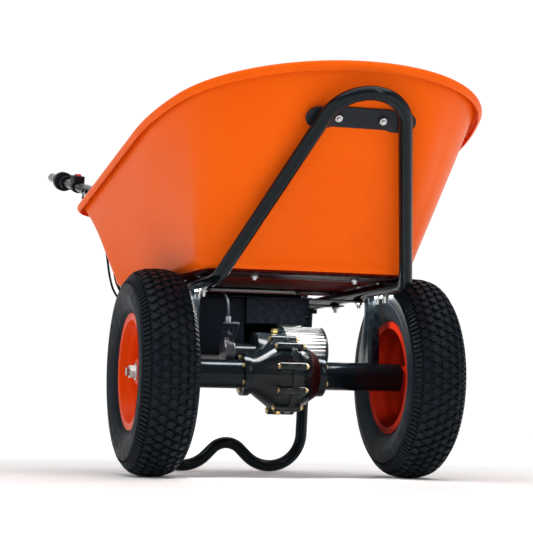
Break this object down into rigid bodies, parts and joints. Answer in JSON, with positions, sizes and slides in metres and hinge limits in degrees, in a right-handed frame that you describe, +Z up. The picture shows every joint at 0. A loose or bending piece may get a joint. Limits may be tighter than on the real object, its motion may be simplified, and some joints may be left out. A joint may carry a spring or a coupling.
{
  "type": "power wheelbarrow",
  "caption": "Power wheelbarrow: pressed tub on a bent-tube frame, driven wheels on an electric transaxle, rear stand, handles with throttle and brake.",
  "frame": {"origin": "centre of the overall box's footprint, on the ground the tyres stand on", "axes": "+X forward towards the tub's nose, +Y to the machine's left, +Z up"},
  "size_m": [1.5386, 0.69, 0.735],
  "materials": {
    "tub_paint": "gloss powder coat",
    "rim_paint": "gloss powder coat",
    "frame_paint": "satin-gloss powder coat",
    "strap_paint": "satin powder coat",
    "ring_paint": "satin paint",
    "case_paint": "satin paint over a casting",
    "box_paint": "satin powder coat",
    "band_paint": "satin paint",
    "zinc": "bright zinc",
    "gold_zinc": "yellow zinc",
    "plug_brass": "machined",
    "machined_steel": "machined",
    "bearing_steel": "ground",
    "diff_iron": "machined casting",
    "cast_alloy": "cast",
    "lever_alloy": "satin paint on an alloy lever",
    "winding": "varnished copper and laminations",
    "grip_rubber": "matte, ribbed",
    "control_plastic": "satin",
    "button_plastic": "gloss",
    "pack_plastic": "fine texture",
    "cable_sheath": "satin sheath",
    "tyre_rubber": "matte",
    "tube_rubber": "matte"
  },
  "bodies": {
    "chassis": {"tub": "tub_paint", "front_hoop": "frame_paint", "hoop_strap": "strap_paint", "tub_bolts": "zinc", "tube_splices": "machined_steel", "rail_left": "frame_paint", "rail_right": "frame_paint", "handle_left": "frame_paint", "handle_right": "frame_paint", "frame_bolts": "zinc", "cross_straps": "frame_paint", "uprights": "frame_paint", "rear_stand": "frame_paint", "stand_saddles": "frame_paint", "axle_tube_left": "frame_paint", "axle_tube_right": "frame_paint", "gearbox_bolts": "gold_zinc", "spacer_ring": "ring_paint", "gearbox_case": "case_paint", "gearbox_cover": "case_paint", "gearbox_plugs": "plug_brass", "drive_bearings": "bearing_steel", "axle_bearings": "bearing_steel", "motor_housing": "cast_alloy", "motor_end_caps": "case_paint", "motor_stator": "winding", "brake_band": "band_paint", "battery_box": "box_paint", "controller": "cast_alloy", "grip_left": "grip_rubber", "throttle_housing": "control_plastic", "switch_box": "control_plastic", "lever_perch": "control_plastic", "control_cable": "cable_sheath", "brake_cable": "cable_sheath", "motor_lead": "cable_sheath"},
    "right_wheel": {"tyre_right": "tyre_rubber", "rim_right": "rim_paint", "hub_nut_right": "zinc", "inner_tube_right": "tube_rubber", "half_shaft_right": "machined_steel", "side_gear_right": "machined_steel"},
    "left_wheel": {"tyre_left": "tyre_rubber", "rim_left": "rim_paint", "hub_nut_left": "zinc", "inner_tube_left": "tube_rubber", "half_shaft_left": "machined_steel", "side_gear_left": "machined_steel"},
    "differential": {"ring_gear": "machined_steel", "diff_case": "diff_iron", "diff_pin": "machined_steel", "spider_gears": "machined_steel"},
    "countershaft": {"countershaft": "machined_steel", "brake_drum": "machined_steel"},
    "rotor": {"motor_rotor": "machined_steel"},
    "throttle": {"throttle_grip": "grip_rubber"},
    "lever": {"brake_lever": "lever_alloy"},
    "button": {"red_button": "button_plastic"},
    "brake_arm": {"brake_arm": "zinc"},
    "battery": {"battery_pack": "pack_plastic"}
  },
  "joints": [
    {"name": "right_wheel_spin", "type": "hinge", "parent": "chassis", "child": "right_wheel", "pos_m": [0.24, -0.264, 0.2], "axis": [0, 1, 0], "continuous": true},
    {"name": "left_wheel_spin", "type": "hinge", "parent": "chassis", "child": "left_wheel", "pos_m": [0.24, 0.264, 0.2], "axis": [0, 1, 0], "continuous": true},
    {"name": "carrier_spin", "type": "hinge", "parent": "chassis", "child": "differential", "pos_m": [0.24, -0.031, 0.2], "axis": [0, 1, 0], "continuous": true},
    {"name": "countershaft_spin", "type": "hinge", "parent": "chassis", "child": "countershaft", "pos_m": [0.19405, -0.013, 0.24437], "axis": [0, 1, 0], "continuous": true},
    {"name": "rotor_spin", "type": "hinge", "parent": "chassis", "child": "rotor", "pos_m": [0.15466, 0.061, 0.25132], "axis": [0, 1, 0], "continuous": true},
    {"name": "throttle_twist", "type": "hinge", "parent": "chassis", "child": "throttle", "pos_m": [-0.70534, -0.3069, 0.70481], "axis": [0.9766, 0.0546, -0.2079], "range_deg": [0, 70], "stiffness_Nm_per_rad": 0.25, "springref_deg": -5.73},
    {"name": "brake_lever_pull", "type": "hinge", "parent": "chassis", "child": "lever", "pos_m": [-0.60533, -0.27326, 0.68319], "axis": [0.2076, 0.0116, 0.9781], "range_deg": [0, 10], "stiffness_Nm_per_rad": 2, "springref_deg": -11.46},
    {"name": "brake_arm_pull", "type": "hinge", "parent": "chassis", "child": "brake_arm", "pos_m": [0.20636, -0.1135, 0.2782], "axis": [0, 1, 0], "range_deg": [-6.2, 0]},
    {"name": "button_press", "type": "slide", "parent": "chassis", "child": "button", "axis": [-0.2076, -0.0116, -0.9781], "range_m": [0, 0.0025], "stiffness_N_per_m": 400, "springref_m": -0.001},
    {"name": "battery_slide", "type": "slide", "parent": "chassis", "child": "battery", "axis": [-1, 0, 0], "range_m": [0, 0.23]}
  ],
  "couplings": [
    {"joint": "left_wheel_spin", "follows": "right_wheel_spin", "ratio": 1},
    {"joint": "carrier_spin", "follows": "right_wheel_spin", "ratio": 1},
    {"joint": "countershaft_spin", "follows": "right_wheel_spin", "ratio": -5.6364},
    {"joint": "rotor_spin", "follows": "right_wheel_spin", "ratio": 30.436},
    {"joint": "brake_arm_pull", "follows": "brake_lever_pull", "ratio": -0.6}
  ]
}
